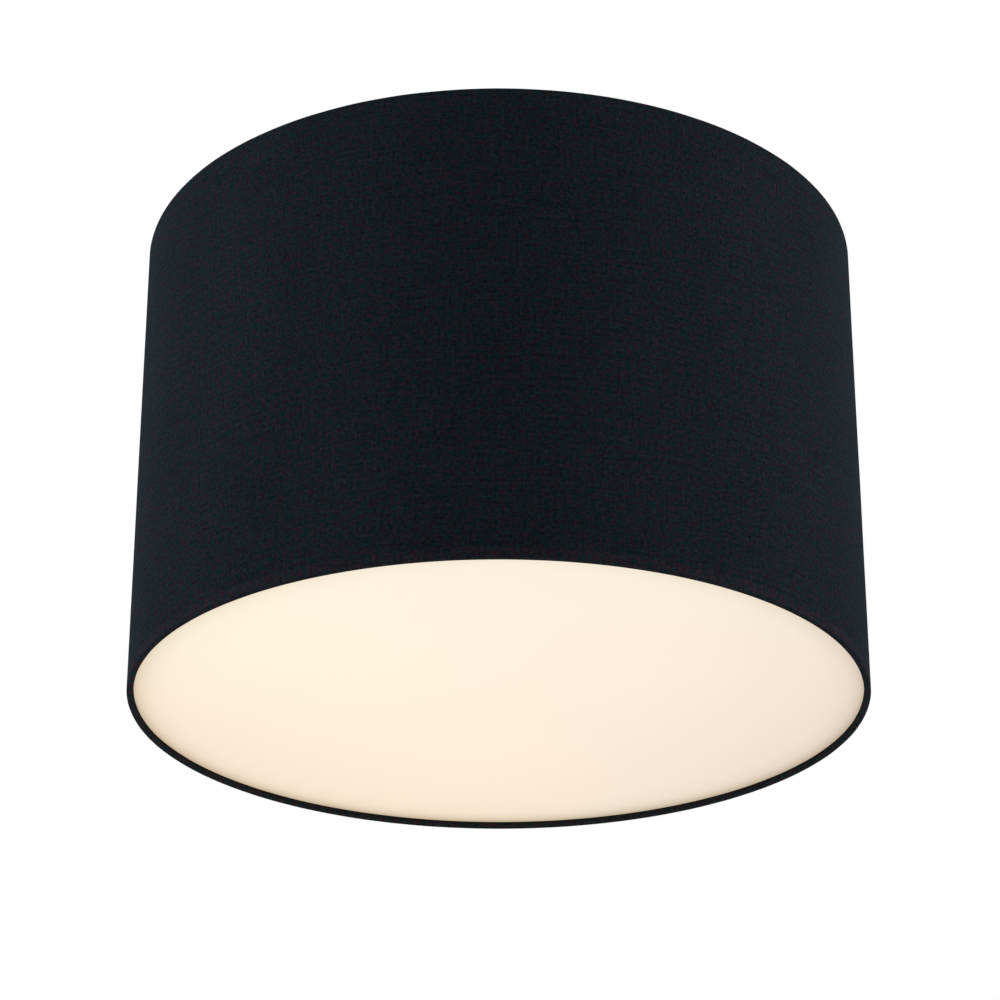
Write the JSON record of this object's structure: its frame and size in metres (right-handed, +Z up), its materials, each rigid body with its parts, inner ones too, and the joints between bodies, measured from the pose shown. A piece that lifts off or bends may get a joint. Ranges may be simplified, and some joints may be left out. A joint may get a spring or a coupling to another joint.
{
  "type": "flush ceiling light",
  "caption": "Drum-shaped cloth shade clipped under a pressed steel ceiling plate, with an opal disc lying in its lower rim and small screw-in bulbs inside.",
  "frame": {"origin": "centre of the ceiling plate's mounting plane, midway between its two ceiling screws", "axes": "+Z up into the ceiling, so the light hangs towards -Z; +X along the line of the two ceiling screws; +Y towards the cloth's upright seam"},
  "size_m": [0.3, 0.3003, 0.212],
  "materials": {
    "cloth": "plain woven cotton, slate black",
    "laminate": "white shade laminate",
    "opal_acrylic": "satin opal acrylic",
    "white_steel": "white powder coat",
    "zinc_steel": "bright zinc plated",
    "spring_steel": "spring strip",
    "tinned_copper": "tinned",
    "brass": "stamped",
    "nickel": "nickel plated",
    "holder_plastic": "moulded white",
    "terminal_plastic": "moulded natural",
    "rubber": "moulded",
    "black_insulator": "moulded black",
    "bulb_plastic": "moulded white",
    "opal_globe": "opal globe",
    "live_insulation": "brown",
    "neutral_insulation": "blue",
    "earth_insulation": "green and yellow"
  },
  "bodies": {
    "base": {"ceiling_plate": "white_steel", "cable_grommet": "rubber", "terminal_block": "terminal_plastic", "terminal_screws": "zinc_steel", "block_screws": "zinc_steel", "earth_stud": "zinc_steel", "earth_lug": "tinned_copper", "earth_washer": "zinc_steel", "earth_nut": "zinc_steel", "bracket_rivets": "zinc_steel", "holder_tubes": "zinc_steel", "holder_nuts": "zinc_steel", "earth_wire": "earth_insulation", "lamp_bracket_1": "zinc_steel", "lampholder_1": "holder_plastic", "screw_shell_1": "brass", "centre_contact_1": "brass", "spring_clip_1": "spring_steel", "live_wire_1": "live_insulation", "neutral_wire_1": "neutral_insulation", "lamp_bracket_2": "zinc_steel", "lampholder_2": "holder_plastic", "screw_shell_2": "brass", "centre_contact_2": "brass", "spring_clip_2": "spring_steel", "live_wire_2": "live_insulation", "neutral_wire_2": "neutral_insulation", "lamp_bracket_3": "zinc_steel", "lampholder_3": "holder_plastic", "screw_shell_3": "brass", "centre_contact_3": "brass", "spring_clip_3": "spring_steel", "live_wire_3": "live_insulation", "neutral_wire_3": "neutral_insulation"},
    "shade": {"shade_cloth": "cloth", "shade_liner": "laminate", "shade_carrier": "white_steel", "rim_wire": "zinc_steel"},
    "disc": {"opal_disc": "opal_acrylic"},
    "bulb_1": {"bulb_tip_1": "tinned_copper", "bulb_insulator_1": "black_insulator", "bulb_cap_1": "nickel", "bulb_collar_1": "bulb_plastic", "bulb_globe_1": "opal_globe"},
    "bulb_2": {"bulb_tip_2": "tinned_copper", "bulb_insulator_2": "black_insulator", "bulb_cap_2": "nickel", "bulb_collar_2": "bulb_plastic", "bulb_globe_2": "opal_globe"},
    "bulb_3": {"bulb_tip_3": "tinned_copper", "bulb_insulator_3": "black_insulator", "bulb_cap_3": "nickel", "bulb_collar_3": "bulb_plastic", "bulb_globe_3": "opal_globe"}
  },
  "joints": [
    {"name": "shade_drop", "type": "slide", "parent": "base", "child": "shade", "axis": [0, 0, -1], "range_m": [0, 0.16], "deforming": ["spring_clip_1", "spring_clip_2", "spring_clip_3"]},
    {"name": "disc_lift", "type": "slide", "parent": "shade", "child": "disc", "axis": [0, 0, 1], "range_m": [0, 0.12]},
    {"name": "bulb_1_unscrew", "type": "slide", "parent": "base", "child": "bulb_1", "axis": [0, 1, 0], "range_m": [0, 0.0165]},
    {"name": "bulb_2_unscrew", "type": "slide", "parent": "base", "child": "bulb_2", "axis": [-0.866, -0.5, 0], "range_m": [0, 0.0165]},
    {"name": "bulb_3_unscrew", "type": "slide", "parent": "base", "child": "bulb_3", "axis": [0.866, -0.5, 0], "range_m": [0, 0.0165]}
  ]
}
